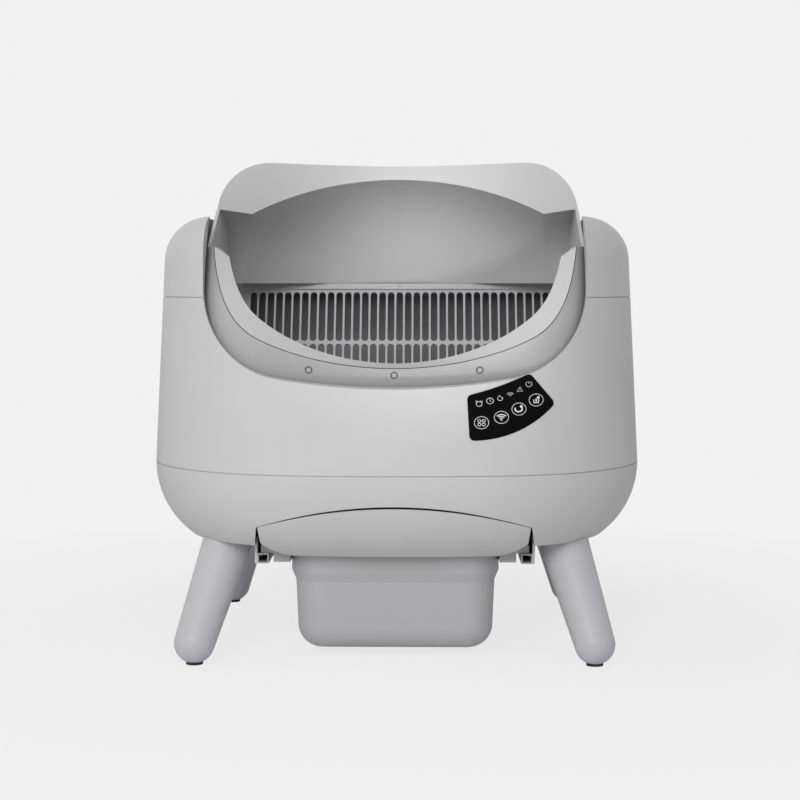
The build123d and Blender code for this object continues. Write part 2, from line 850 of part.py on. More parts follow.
# Drum bowl: round shell below the hood, open at the front lip
hood_keep = slab(-half_w, half_w, rim_side_y, half_d, hood_bottom_z, body_top_z + drum_radius)
bowl_open = slab(
    -drum_half_width + drum_wall, drum_half_width - drum_wall, -half_d, rim_side_y,
    hood_bottom_z, body_top_z + drum_radius,
)
end_trim_plane = Plane(origin=(0, collar_end_y, collar_end_z), x_dir=(1, 0, 0), z_dir=(0, -1, 2))
with BuildPart() as end_trim:
    with BuildSketch(end_trim_plane):
        Rectangle(body_width, body_depth)
    extrude(amount=drum_radius)
bowl_bore = rod(journal_radius + bush_fit, -half_w, half_w)
bowl_bolt_holes = end_rods(bolt_points, screw_radius + bush_fit, -half_w, half_w)
bowl_screw_holes = [
    radial_rod(x, angle, screw_radius + fit_gap, drum_radius - cut_over, half_d)
    for x, angle in collar_screw_places
]
with BuildPart() as drum_bowl:
    add(drum_outer)
    add(drum_inner, mode=Mode.SUBTRACT)
    add(bowl_lip, mode=Mode.SUBTRACT)
    add(hood_keep, mode=Mode.SUBTRACT)
    add(bowl_open, mode=Mode.SUBTRACT)
    add(end_trim.part, mode=Mode.SUBTRACT)
    add(bowl_bore, mode=Mode.SUBTRACT)
    add(bowl_bolt_holes, mode=Mode.SUBTRACT)
    for hole in bowl_screw_holes:
        add(hole, mode=Mode.SUBTRACT)
save(drum_bowl.part, "drum_bowl")


# Drum hood: hollow raised back with a wavy front face and a scooped inner wall
def scoop(grow):
    with BuildPart() as form:
        with BuildSketch(drum_plane) as profile:
            with BuildLine():
                reach = drum_half_width
                rise = scoop_radius + grow
                drop = scoop_bow_radius - sqrt(scoop_bow_radius**2 - reach**2)
                ThreePointArc((-reach, rise - drop), (0, rise), (reach, rise - drop))
                Polyline((reach, rise - drop), (reach, 0), (-reach, 0), (-reach, rise - drop))
            make_face()
        revolve(axis=drum_axis)
    return form.part


# Side scoops: two cones, base outward, that hollow the wall further toward the drum's ends
def side_scoops(grow):
    middle = side_scoop_middle_radius + grow
    ends = side_scoop_end_radius + grow
    reach = drum_half_width
    with BuildPart() as form:
        with BuildSketch(Plane(origin=(0, side_scoop_y, side_scoop_z), x_dir=(1, 0, 0), z_dir=(0, -1, 0))):
            with BuildLine():
                Polyline(
                    (-reach, 0), (-reach, ends), (0, middle), (reach, ends), (reach, 0), (-reach, 0)
                )
            make_face()
        revolve(axis=Axis((0, side_scoop_y, side_scoop_z), (1, 0, 0)))
    return form.part


def rim_front(shift):
    side_y = rim_side_y + shift
    with BuildPart() as form:
        with BuildSketch(Plane.XY.offset(hood_bottom_z - cut_over)):
            with BuildLine():
                ThreePointArc((-rim_side_x, side_y), (0, rim_middle_y + shift), (rim_side_x, side_y))
                Polyline(
                    (rim_side_x, side_y), (rim_side_x, -half_d), (-rim_side_x, -half_d), (-rim_side_x, side_y)
                )
            make_face()
        extrude(amount=drum_radius + cut_over)
    return form.part


inner_half = drum_half_width - hood_wall
hood_inner = barrel(-hood_wall)
hood_side_clip = slab(-inner_half, inner_half, -half_d, half_d, 0, body_top_z + drum_radius)
hood_space = gathered([scoop(0), side_scoops(0)], hood_side_clip, None)
hood_above = slab(-half_w, half_w, rim_side_y, half_d, hood_bottom_z + hood_wall, body_top_z + drum_radius)
hollow_cuts = [rim_front(hood_wall), scoop(hood_wall), side_scoops(hood_wall)]
with BuildPart() as hood_hollow:
    add(hood_inner)
    add(hood_above, mode=Mode.INTERSECT)
    for cut in hollow_cuts:
        add(cut, mode=Mode.SUBTRACT)
hood_vent_x = drum_half_width - hood_vent_inset
hood_vent_points = [(-hood_vent_x, hood_vent_y), (hood_vent_x, hood_vent_y)]
hood_vents = upright_rods(hood_vent_points, hood_vent_radius, high_seam_z, hood_bottom_z + cut_over)
hood_cuts = [rim_front(0), hood_space, hood_hollow.part, hood_vents]
with BuildPart() as drum_hood:
    add(drum_outer)
    add(hood_keep, mode=Mode.INTERSECT)
    for cut in hood_cuts:
        add(cut, mode=Mode.SUBTRACT)
save(drum_hood.part, "drum_hood")

# Sieve grate: slotted panel across the back of the bowl
sieve_run = hypot(sieve_top_y - sieve_foot_y, sieve_top_z - sieve_foot_z)
sieve_up = Vector(0, sieve_top_y - sieve_foot_y, sieve_top_z - sieve_foot_z).normalized()
sieve_plane = Plane(
    origin=(0, sieve_top_y, sieve_top_z), x_dir=(1, 0, 0), z_dir=Vector(1, 0, 0).cross(sieve_up)
)
sieve_clip = barrel(-drum_wall - fit_gap)
slot_row_y = -sieve_top_margin - sieve_slot_length / 2
sieve_half = drum_half_width - drum_wall
sieve_slots_wide = int(2 * (sieve_half - sieve_side_margin) / sieve_slot_pitch)
sieve_slots_low = sieve_slots_wide - sieve_slots_fewer
with BuildPart() as sieve_grate:
    with BuildSketch(sieve_plane):
        with Locations((0, -(sieve_run + sieve_rail_height) / 2)):
            Rectangle(2 * sieve_half, sieve_run + sieve_rail_height)
    extrude(amount=-sieve_thick)
    with BuildSketch(sieve_plane):
        with Locations((0, -sieve_rail_height / 2)):
            Rectangle(2 * sieve_half, sieve_rail_height)
    extrude(amount=sieve_rail_depth - sieve_thick)
    add(sieve_clip, mode=Mode.INTERSECT)
    with BuildSketch(sieve_plane):
        for row, count in ((0, sieve_slots_wide), (1, sieve_slots_wide), (2, sieve_slots_low)):
            with Locations((0, slot_row_y - row * sieve_row_pitch)):
                with GridLocations(sieve_slot_pitch, sieve_row_pitch, count, 1):
                    SlotOverall(sieve_slot_length, sieve_slot_width, rotation=90)
    extrude(amount=-sieve_thick, mode=Mode.SUBTRACT)
save(sieve_grate.part, "sieve_grate")

# Sieve top screw: one pan-head screw in the middle of the rail
sieve_face = sieve_rail_depth - sieve_thick
with BuildPart() as sieve_screw:
    with BuildSketch(sieve_plane.offset(sieve_face)):
        with Locations((0, -sieve_rail_height / 2)):
            Circle(sieve_screw_radius)
    extrude(amount=sieve_screw_radius / 2)
save(sieve_screw.part, "sieve_screw")

# Trunnions: flange on the drum's end with a journal that runs in the bush
gear_end_x = gear_start_x + gear_face
left_journal_x = liner_half_width + boss_length + bush_flange_thick + flange_thick
magnet_point = [(0, axis_z + magnet_orbit)]
end_x = drum_half_width
magnet_out_x = -end_x - flange_thick
right_rods = [
    rod(flange_radius, end_x, end_x + flange_thick),
    rod(journal_radius, end_x - drum_wall, gear_end_x),
]
right_holes = [
    end_rods(bolt_points, screw_radius + fit_gap, end_x, end_x + flange_thick),
    rod(screw_radius * 2, gear_end_x - screw_length, gear_end_x),
]
left_rods = [
    rod(flange_radius, -end_x - flange_thick, -end_x),
    rod(journal_radius, -left_journal_x, -end_x + drum_wall),
]
left_holes = [
    end_rods(bolt_points, screw_radius + fit_gap, -end_x - flange_thick, -end_x),
    end_rods(magnet_point, magnet_radius + fit_gap, magnet_out_x, magnet_out_x + magnet_thick),
]
for label, solids, holes in (
    ("right_trunnion", right_rods, right_holes),
    ("left_trunnion", left_rods, left_holes),
):
    with BuildPart() as trunnion:
        for solid in solids:
            add(solid)
        for hole in holes:
            add(hole, mode=Mode.SUBTRACT)
    save(trunnion.part, label)

trunnion_screw_parts = []
for sx in (-1, 1):
    head_x = sx * (end_x + flange_thick)
    tip_x = sx * (end_x - drum_wall)
    top_x = sx * (end_x + flange_thick + screw_head_height)
    trunnion_screw_parts.append(
        end_rods(bolt_points, screw_head_radius, min(head_x, top_x), max(head_x, top_x))
    )
    trunnion_screw_parts.append(end_rods(bolt_points, screw_radius, min(head_x, tip_x), max(head_x, tip_x)))
with BuildPart() as trunnion_screws:
    for piece in trunnion_screw_parts:
        add(piece)
save(trunnion_screws.part, "trunnion_screws")

turn_magnet = end_rods(magnet_point, magnet_radius, magnet_out_x, magnet_out_x + magnet_thick)
save(turn_magnet, "turn_magnet")

# Bushes between the journals and the well's bosses
for label, sx in (("left_bush", -1), ("right_bush", 1)):
    x_in = sx * (well_half_width + fit_gap)
    x_out = sx * (liner_half_width + boss_length)
    x_cap = x_out + sx * bush_flange_thick
    bush_body = rod(journal_radius + bush_wall - bush_fit, min(x_in, x_out), max(x_in, x_out))
    bush_flange = rod(bush_flange_radius, min(x_out, x_cap), max(x_out, x_cap))
    bush_bore = rod(journal_radius + bush_fit, -half_w, half_w)
    with BuildPart() as bush:
        add(bush_body)
        add(bush_flange)
        add(bush_bore, mode=Mode.SUBTRACT)
    save(bush.part, label)


# Gears: straight-flanked teeth at the shared module
def gear_outline(teeth, turn_share):
    pitch = gear_module * teeth / 2
    root = pitch - dedendum_share * gear_module
    tip = pitch + gear_module
    step = 2 * pi / teeth
    half_pitch = step / 4 - gear_backlash / pitch / 2
    half_root = half_pitch + dedendum_share * gear_module * tan(radians(pressure_deg)) / pitch
    half_tip = half_pitch - gear_module * tan(radians(pressure_deg)) / pitch
    points = []
    for i in range(teeth):
        mid = (i + turn_share) * step
        for radius, angle in (
            (root, mid - half_root), (tip, mid - half_tip), (tip, mid + half_tip), (root, mid + half_root),
        ):
            points.append((radius * cos(angle), radius * sin(angle)))
    return points


ring_root_radius = ring_pitch_radius - dedendum_share * gear_module
spoke_hole_orbit = (gear_hub_radius + ring_root_radius - gear_rim) / 2
spoke_hole_radius = (ring_root_radius - gear_rim - gear_hub_radius) / 2 - 2 * screw_radius
gear_plane = Plane(origin=(gear_start_x, 0, axis_z), x_dir=(0, 1, 0), z_dir=(1, 0, 0))
web_cut = (gear_face - gear_web) / 2
with BuildPart() as ring_gear:
    with BuildSketch(gear_plane):
        Polygon(*gear_outline(ring_teeth, 0), align=None)
        Circle(journal_radius + bush_fit, mode=Mode.SUBTRACT)
        with PolarLocations(spoke_hole_orbit, spoke_holes):
            Circle(spoke_hole_radius, mode=Mode.SUBTRACT)
    extrude(amount=gear_face)
    for start in (0, gear_face - web_cut):
        with BuildSketch(gear_plane.offset(start)):
            Circle(ring_root_radius - gear_rim)
            Circle(gear_hub_radius, mode=Mode.SUBTRACT)
        extrude(amount=web_cut, mode=Mode.SUBTRACT)
save(ring_gear.part, "ring_gear")

# Gear retainer: washer and screw on the end of the right journal
retainer_rods = [
    rod(retainer_radius, gear_end_x, gear_end_x + retainer_thick),
    rod(screw_radius * 2, gear_end_x - screw_length, gear_end_x),
    rod(screw_head_radius * 2, gear_end_x + retainer_thick, gear_end_x + retainer_thick + screw_head_height),
]
with BuildPart() as gear_retainer:
    for piece in retainer_rods:
        add(piece)
save(gear_retainer.part, "gear_retainer")

# Drive pinion on the motor shaft: turned half a step so its tooth meets a gap of the ring
pinion_plane = Plane(origin=(gear_start_x, 0, pinion_z), x_dir=(0, 1, 0), z_dir=(1, 0, 0))
motor_end_x = motor_face_x + motor_thick
pinion_shaft = rod(shaft_radius, motor_end_x - shaft_depth, gear_end_x, 0, pinion_z)
pinion_hub = rod(pinion_hub_radius, motor_end_x + fit_gap, gear_start_x, 0, pinion_z)
with BuildPart() as drive_pinion:
    with BuildSketch(pinion_plane):
        Polygon(*gear_outline(pinion_teeth, half_step_share), align=None)
    extrude(amount=gear_face)
    add(pinion_shaft)
    add(pinion_hub)
save(drive_pinion.part, "drive_pinion")

# Flat gear motor on the right end of the well
motor_rods = [
    rod(motor_radius, motor_face_x, motor_end_x - flange_thick / 2, 0, pinion_z),
    rod(motor_radius - flange_thick, motor_face_x, motor_end_x, 0, pinion_z),
    slab(
        motor_face_x, motor_face_x + motor_ear_thick, -ear_reach, ear_reach,
        pinion_z - motor_ear_width / 2, pinion_z + motor_ear_width / 2,
    ),
]
ear_points = [(sy * ear_screw_y, pinion_z) for sy in (-1, 1)]
motor_holes = [
    rod(shaft_radius + bush_fit, motor_end_x - shaft_depth - fit_gap, motor_end_x, 0, pinion_z),
    end_rods(ear_points, screw_radius + fit_gap, motor_face_x, motor_face_x + motor_ear_thick),
]
with BuildPart() as gear_motor:
    for piece in motor_rods:
        add(piece)
    for hole in motor_holes:
        add(hole, mode=Mode.SUBTRACT)
save(gear_motor.part, "gear_motor")

motor_screw_parts = [
    end_rods(
        ear_points, screw_head_radius,
        motor_face_x + motor_ear_thick, motor_face_x + motor_ear_thick + screw_head_height,
    ),
    end_rods(ear_points, screw_radius, well_half_width + fit_gap, motor_face_x + motor_ear_thick),
]
with BuildPart() as motor_screws:
    for piece in motor_screw_parts:
        add(piece)
save(motor_screws.part, "motor_screws")

# Turn sensor on the left end of the well, facing the magnet
sensor_z = axis_z + magnet_orbit
turn_sensor = slab(
    -liner_half_width - sensor_thick, -liner_half_width, -sensor_size / 2, sensor_size / 2,
    sensor_z - sensor_size / 2, sensor_z + sensor_size / 2,
)
save(turn_sensor, "turn_sensor")


# Waste bin: a tub with an upright band, a sloped step and a tapered round-edged lower part
def bin_form(inset):
    length = bin_back_y - bin_front_y
    mid_y = (bin_front_y + bin_back_y) / 2
    tub_inset = inset + bin_step
    step_plane = Plane.XY.offset(bin_step_z + inset).move(Location((0, mid_y, 0)))
    tub_plane = Plane.XY.offset(bin_tub_z + inset).move(Location((0, mid_y, 0)))
    with BuildSketch(step_plane) as band_outline:
        RectangleRounded(2 * (bin_half - inset), length - 2 * inset, bin_corner_radius - inset)
    with BuildSketch(tub_plane) as tub_outline:
        RectangleRounded(2 * (bin_half - tub_inset), length - 2 * tub_inset, bin_corner_radius - tub_inset)
    with BuildPart() as form:
        add(band_outline.sketch)
        extrude(amount=bin_rim_z - bin_step_z - inset + (cut_over if inset else 0))
        add(band_outline.sketch)
        add(tub_outline.sketch)
        loft(ruled=True)
        add(tub_outline.sketch)
        extrude(amount=bin_bottom_z - bin_tub_z, taper=bin_taper_deg)
        fillet(form.faces().sort_by(Axis.Z)[0].edges(), bin_edge_radius - inset)
    return form.part


bin_outer = bin_form(0)
bin_inner = bin_form(bin_wall)
panel_boss_points = [(-panel_boss_x, panel_boss_z), (panel_boss_x, panel_boss_z)]
bin_holes = [
    rear_rod(screw_radius + fit_gap, -half_d, bin_front_y + cut_over, x, z) for x, z in panel_boss_points
]
with BuildPart() as waste_bin:
    add(bin_outer)
    add(bin_inner, mode=Mode.SUBTRACT)
    for hole in bin_holes:
        add(hole, mode=Mode.SUBTRACT)
save(waste_bin.part, "waste_bin")

# Bin flanges: hollow ledges along the bin's sides that ride on the rails
flange_top_z = flange_bottom_z + flange_height
flange_low_z = flange_bottom_z + slide_fit
flange_front_y = bin_front_y + bin_corner_radius / 4
flange_back_y = bin_back_y - bin_corner_radius
flange_half_width = rail_outer_x - flange_side_gap
flange_solids = []
flange_pockets = []
for sx in (-1, 1):
    near_x = sx * bin_half
    far_x = sx * flange_half_width
    flange_solids.append(
        slab(
            min(near_x, far_x), max(near_x, far_x), flange_front_y, flange_back_y, flange_low_z, flange_top_z
        )
    )
    cut_near = sx * (bin_half + flange_wall)
    cut_far = sx * (flange_half_width - flange_wall)
    flange_pockets.append(
        slab(
            min(cut_near, cut_far), max(cut_near, cut_far), flange_front_y + flange_wall,
            flange_back_y - flange_wall, flange_low_z, flange_top_z - flange_wall,
        )
    )
with BuildPart() as bin_flanges:
    for ledge in flange_solids:
        add(ledge)
    for pocket in flange_pockets:
        add(pocket, mode=Mode.SUBTRACT)
save(bin_flanges.part, "bin_flanges")

# Bin guides: blocks under the flanges that keep the bin between the rails
guide_low_z = flange_bottom_z - guide_height
guide_half_width = rail_outer_x - rail_width - guide_side_gap
guide_blocks = []
for sx in (-1, 1):
    near_x = sx * bin_half
    guide_x = sx * guide_half_width
    for y_low in (flange_front_y, flange_back_y - guide_length):
        guide_blocks.append(
            slab(
                min(near_x, guide_x), max(near_x, guide_x), y_low, y_low + guide_length,
                guide_low_z, flange_low_z,
            )
        )
with BuildPart() as bin_guides:
    for block in guide_blocks:
        add(block)
save(bin_guides.part, "bin_guides")

# Drawer front: a piece of the lower shell's skin, with bosses back to the bin
panel_face = panel_prism(0, 0, False)
panel_outer = round_form(0)
panel_inner = round_form(shell_wall)
panel_rods = [
    rear_rod(panel_boss_radius, -half_d, bin_front_y - slide_fit, x, z) for x, z in panel_boss_points
]
panel_bosses = gathered(panel_rods, clip_round, None)
panel_bores = [
    rear_rod(screw_radius, bin_front_y - screw_length - slide_fit, bin_front_y, x, z)
    for x, z in panel_boss_points
]
with BuildPart() as drawer_front:
    add(panel_outer)
    add(panel_inner, mode=Mode.SUBTRACT)
    add(panel_face, mode=Mode.INTERSECT)
    add(panel_bosses)
    for bore in panel_bores:
        add(bore, mode=Mode.SUBTRACT)
save(drawer_front.part, "drawer_front")

drawer_screw_parts = []
for x, z in panel_boss_points:
    head_y = bin_front_y + bin_wall
    drawer_screw_parts.append(rear_rod(screw_head_radius, head_y, head_y + screw_head_height, x, z))
    drawer_screw_parts.append(
        rear_rod(screw_radius - bush_fit, bin_front_y - screw_length + fit_gap, head_y, x, z)
    )
with BuildPart() as drawer_screws:
    for piece in drawer_screw_parts:
        add(piece)
save(drawer_screws.part, "drawer_screws")

# Drawer rails: square tubes along the tunnel walls, held by screws through the walls
rail_screw_parts = []
for label, sx in (("left_drawer_rail", -1), ("right_drawer_rail", 1)):
    inner_x = sx * (rail_outer_x - rail_width)
    outer_x = sx * rail_outer_x
    tube = slab(
        min(inner_x, outer_x), max(inner_x, outer_x), rail_front_y, rail_back_y,
        rail_bottom_z, flange_bottom_z,
    )
    bore = slab(
        min(inner_x, outer_x) + rail_wall, max(inner_x, outer_x) - rail_wall, rail_front_y, rail_back_y,
        rail_bottom_z + rail_wall, flange_bottom_z - rail_wall,
    )
    tip_x = sx * tunnel_x
    seat_x = sx * (rail_outer_x - rail_wall)
    head_x = sx * (rail_outer_x - rail_wall - screw_head_height)
    holes = []
    for y in rail_screw_ys:
        holes.append(rod(screw_radius + bush_fit, min(tip_x, seat_x), max(tip_x, seat_x), y, rail_mid_z))
        rail_screw_parts.append(rod(screw_radius, min(tip_x, seat_x), max(tip_x, seat_x), y, rail_mid_z))
        rail_screw_parts.append(
            rod(screw_head_radius, min(seat_x, head_x), max(seat_x, head_x), y, rail_mid_z)
        )
    with BuildPart() as drawer_rail:
        add(tube)
        add(bore, mode=Mode.SUBTRACT)
        for hole in holes:
            add(hole, mode=Mode.SUBTRACT)
    save(drawer_rail.part, label)
with BuildPart() as rail_screws:
    for piece in rail_screw_parts:
        add(piece)
save(rail_screws.part, "rail_screws")

# Legs: splayed tapered rounds with a ball foot, cut to the lower shell
leg_clear = lower_form(-leg_gap)
floor_cut = slab(-body_width, body_width, -body_depth, body_depth, -cut_over, foot_flat_z)
leg_names = {
    (-1, -1): "front_left_leg", (1, -1): "front_right_leg",
    (-1, 1): "rear_left_leg", (1, 1): "rear_right_leg",
}
end_radius = leg_top_radius + (leg_top_radius - foot_radius) * leg_overrun / leg_length
for sx, sy in corner_signs:
    bolt_bore = leg_rod(
        sx, sy, leg_bolt_radius + bush_fit, leg_length - leg_bolt_depth, leg_length + leg_overrun
    )
    pad_seat = upright_rods([(sx * foot_x, sy * foot_y)], pad_radius + bush_fit, 0, pad_thick)
    with BuildPart() as leg:
        with BuildSketch(leg_plane(sx, sy, 0)):
            Circle(foot_radius)
        with BuildSketch(leg_plane(sx, sy, leg_length + leg_overrun)):
            Circle(end_radius)
        loft()
        with Locations((sx * foot_x, sy * foot_y, foot_center_z)):
            Sphere(foot_radius)
        for cut in (leg_clear, floor_cut, bolt_bore, pad_seat):
            add(cut, mode=Mode.SUBTRACT)
    save(leg.part, leg_names[(sx, sy)])

foot_pads = upright_rods([(sx * foot_x, sy * foot_y) for sx, sy in corner_signs], pad_radius, 0, pad_thick)
save(foot_pads, "foot_pads")

leg_bolt_parts = []
boss_top = leg_length + leg_boss_height
for sx, sy in corner_signs:
    leg_bolt_parts.append(
        leg_rod(sx, sy, leg_bolt_radius, leg_length - leg_bolt_depth + fit_gap, boss_top + leg_washer_thick)
    )
    leg_bolt_parts.append(leg_rod(sx, sy, leg_washer_radius, boss_top, boss_top + leg_washer_thick))
    leg_bolt_parts.append(
        leg_rod(sx, sy, 2 * leg_bolt_radius, boss_top + leg_washer_thick, boss_top + 2 * leg_bolt_radius)
    )
with BuildPart() as leg_bolts:
    for piece in leg_bolt_parts:
        add(piece)
save(leg_bolts.part, "leg_bolts")

# Control lens: a skin-following black cover with its board behind
lens_face = lens_prism(0)
lens_top = upper_form(-lens_proud)
lens_bottom = upper_form(lens_thick - lens_proud)
with BuildPart() as control_lens:
    add(lens_top)
    add(lens_bottom, mode=Mode.SUBTRACT)
    add(lens_face, mode=Mode.INTERSECT)
save(control_lens.part, "control_lens")

with BuildPart() as panel_board:
    with BuildSketch(panel_board_plane):
        RectangleRounded(panel_board_width, panel_board_height, post_radius)
    extrude(amount=-board_thick)
    with BuildSketch(panel_board_plane.offset(-board_thick)):
        Rectangle(chip_size, chip_size)
    extrude(amount=-chip_thick)
save(panel_board.part, "panel_board")

# Main board on posts in the lower shell
with BuildPart() as main_board:
    with BuildSketch(Plane.XY.offset(main_board_z)):
        with Locations((0, main_board_y)):
            Rectangle(main_board_width, main_board_depth)
    extrude(amount=board_thick)
    with BuildSketch(Plane.XY.offset(main_board_z + board_thick)):
        with Locations((0, main_board_y), (3 * chip_size, main_board_y), (-3 * chip_size, main_board_y)):
            Rectangle(chip_size, chip_size)
    extrude(amount=chip_thick)
save(main_board.part, "main_board")

# Power inlet in the rear wall
inlet_face_y = inlet_wall_y - lens_proud
inlet_seat_y = inlet_wall_y - 2 * shell_wall
inlet_parts = [
    rear_rod(inlet_radius, inlet_face_y - inlet_length, inlet_face_y, 0, inlet_z),
    rear_rod(inlet_flange_radius, inlet_seat_y - inlet_flange_thick, inlet_seat_y, 0, inlet_z),
]
inlet_bore = rear_rod(inlet_bore_radius, inlet_face_y - inlet_length / 2, inlet_face_y, 0, inlet_z)
inlet_pin = rear_rod(
    inlet_bore_radius / 3, inlet_face_y - inlet_length / 2, inlet_face_y - inlet_flange_thick, 0, inlet_z
)
with BuildPart() as power_inlet:
    for piece in inlet_parts:
        add(piece)
    add(inlet_bore, mode=Mode.SUBTRACT)
    add(inlet_pin)
save(power_inlet.part, "power_inlet")


# Housing screws: from below into the caps, and from below through the lower shell's bosses
def hung_screws(points, seat_z, reach):
    shank = upright_rods(points, screw_radius, seat_z, seat_z + reach)
    head = upright_rods(points, screw_head_radius, seat_z - screw_head_height, seat_z)
    with BuildPart() as form:
        add(shank)
        add(head)
    return form.part


cap_screws = hung_screws(
    cap_boss_points, high_seam_z - cap_boss_height, 2 * cap_boss_height - 3 * screw_radius
)
save(cap_screws, "cap_screws")
body_screws = hung_screws(
    body_boss_points, low_seam_z - cap_boss_height, 2 * cap_boss_height - 3 * screw_radius
)
save(body_screws, "body_screws")
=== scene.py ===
# Looks for the self-cleaning litter box: finishes, front collar, printed signs, studio light and camera.
import json
from math import cos, hypot, pi, radians, sin, sqrt

import bpy
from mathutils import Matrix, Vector
from mathutils.bvhtree import BVHTree


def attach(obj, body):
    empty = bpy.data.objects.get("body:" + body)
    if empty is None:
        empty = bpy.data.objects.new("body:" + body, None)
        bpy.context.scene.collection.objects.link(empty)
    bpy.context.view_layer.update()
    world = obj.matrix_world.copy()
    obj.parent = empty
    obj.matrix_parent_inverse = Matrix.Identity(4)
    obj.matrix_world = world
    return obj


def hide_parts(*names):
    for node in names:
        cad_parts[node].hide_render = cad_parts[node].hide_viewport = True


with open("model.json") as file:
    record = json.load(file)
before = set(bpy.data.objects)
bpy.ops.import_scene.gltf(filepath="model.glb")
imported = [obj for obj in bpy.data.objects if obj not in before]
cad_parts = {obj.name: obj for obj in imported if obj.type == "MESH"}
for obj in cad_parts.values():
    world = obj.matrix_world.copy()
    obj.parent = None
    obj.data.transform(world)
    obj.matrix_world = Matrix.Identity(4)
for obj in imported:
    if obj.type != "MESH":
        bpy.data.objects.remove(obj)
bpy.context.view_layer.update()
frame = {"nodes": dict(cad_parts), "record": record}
nodes = frame["nodes"]
scene = bpy.context.scene

# Lengths are in metres where nothing else is said
MM = 0.001

# Camera fitted to the photograph
CAMERA_PLACE = (0.042, -2.3, 0.4515)
CAMERA_TILT_DEG = -3.80
CAMERA_TURN_DEG = 0.965
CAMERA_LENS = 80.8
SENSOR_WIDTH = 36.0

# Light: ambient that falls off to the right, one soft box from the front left and a snoot into the hood
WHITE = (1, 1, 1, 1)
BACKDROP_LEVEL = 0.885
AMBIENT_LEFT = 0.55
AMBIENT_RIGHT = 0.30
KEY_PLACE = (-0.5, -2.3, 1.45)
KEY_AIM = (0, 0, 0.38)
KEY_SIZE = (1.1, 1.1)
KEY_WATTS = 27.0
HOOD_LIGHT_PLACE = (0.1, -1.6, 0.10)
HOOD_LIGHT_AIM = (0.025, 0.17, 0.54)
HOOD_LIGHT_RADIUS = 0.12
HOOD_CONE_DEG = 8.6
HOOD_WATTS = 75.0

# Floor: a share FADE_NEAR of the backdrop's glow near the object, which rises to all of it at FADE_END
FLOOR_HALF_WIDTH = 40.0
FLOOR_GREY = 0.92
FLOOR_ROUGHNESS = 0.9
FLOOR_SPECULAR = 0.1
FADE_START = 0.45
FADE_END = 1.1
FADE_NEAR = 0.86

# Finishes: the part of a noise that is used, and the scales and spreads of each look
NOISE_RANGE = (0.3, 0.7)
PLASTIC_FLOW_SCALE = 7.0
PLASTIC_FLOW_SPREAD = 0.02
PLASTIC_GLOSS_SCALE = 45.0
PLASTIC_GLOSS_SPREAD = (-0.03, 0.04)
PLASTIC_GRAIN_SCALE = 1600.0
PLASTIC_GRAIN_DETAIL = 2.0
PLASTIC_GRAIN_STRENGTH = 0.10
PLASTIC_GRAIN_HEIGHT = 0.12 * MM
PLASTIC_SPECULAR = 0.42
METAL_DARK_SHARE = 0.86
METAL_SHADE_SCALE = 220.0
METAL_GLOSS_SCALE = 500.0
METAL_GLOSS_SPREAD = (-0.06, 0.08)
METAL_BRUSH_SCALE = 1500.0
METAL_BRUSH_HEIGHT = 0.08 * MM
LENS_SPECULAR = 0.05
RUBBER_GRAIN_SCALE = 1200.0
RUBBER_GRAIN_STRENGTH = 0.3
RUBBER_GRAIN_HEIGHT = 0.2 * MM
TRACK_SCALE = 260.0

# Colour sockets of a mix node, which share their names with its other kinds
MIX_FIRST = 6
MIX_SECOND = 7
MIX_RESULT = 2

# Front collar, in millimetres: the drum's barrel, the border on it and the lip at three depths
AXIS_Z = 388.0
BARREL_RADIUS = 215.0
BARREL_HALF_WIDTH = 229.0
BARREL_CORNER = 68.0
COLLAR_RISE = 4.6
COLLAR_DEPTH = 14.0
COLLAR_TOP_Z = 492.0
EDGE_TOP_Z = 480.0
BORDER_HALF_WIDTH = 232.0
BORDER_BOTTOM_Z = 314.0
BORDER_CORNER = 112.0
BORDER_CROWN = 830.0
LIP_Y = (-240.0, -180.0, -60.0)
LIP_HALF_WIDTH = (245.0, 240.0, 232.0)
LIP_BOTTOM_Z = (343.0, 359.0, 371.0)
LIP_SIDE_Z = (453.0, 599.0, 599.0)
CREASE_POWER = 0.87
EDGE_POWER = 1.06
SEAM_WIDTH = 1.0
SEAM_DEPTH = 1.4
FACE_SHARE_MIN = 0.5
SHARP_DEG = 28.0
COLLAR_ROWS = 160
FACE_STEPS = 10
SEAM_COLUMNS = 2
CORNER_STEPS = 24
CROWN_STEPS = 16
HALVINGS = 40

# Rings of painted shade round the collar's screw heads, in millimetres, each at an x and a fall below the
# axis in degrees
SCREW_PLACES = ((-99.5, 10.5), (0.0, 12.2), (99.5, 10.5))
SCREW_RING_RADIUS = 3.6
SCREW_RING_THICK = 0.85
SCREW_RING_HEIGHT = 0.35
RING_STEPS = 36
RING_SIDES = 10

# Litter pocket, darkened with painted shade: what lies behind the sieve's plane, in millimetres
SIEVE_TOP_YZ = (180.0, 446.0)
SIEVE_FOOT_YZ = (60.0, 186.0)
POCKET_START = 6.0

# Printed signs on the control lens, with their places in millimetres in the front view
LIFT = 0.06 * MM
PRINT_THICK = 0.05 * MM
RAY_START_Y = -1.0
SAME_POINT = 1e-7
KEY_RADIUS = 8.2 * MM
STATUS_RADIUS = 3.9 * MM
KEY_STROKE = 0.62 * MM
STATUS_STROKE = 0.55 * MM
SIGN_HEIGHT_SHARE = 0.84
KEY_PLACES = [(100.5, 290.3), (123.2, 296.2), (143.4, 305.4), (163.4, 315.3)]
STATUS_PLACES = [
    (97.7, 311.8),
    (110.1, 315.0),
    (121.7, 318.4),
    (133.2, 322.1),
    (144.6, 327.8),
    (154.9, 333.6),
]


# Shader helpers
def new_material(name):
    material = bpy.data.materials.new(name)
    material.use_nodes = True
    tree = material.node_tree
    shader = tree.nodes["Principled BSDF"]
    return material, tree, shader


def node_of(tree, kind, **values):
    made = tree.nodes.new(kind)
    for key, value in values.items():
        made.inputs[key].default_value = value
    return made


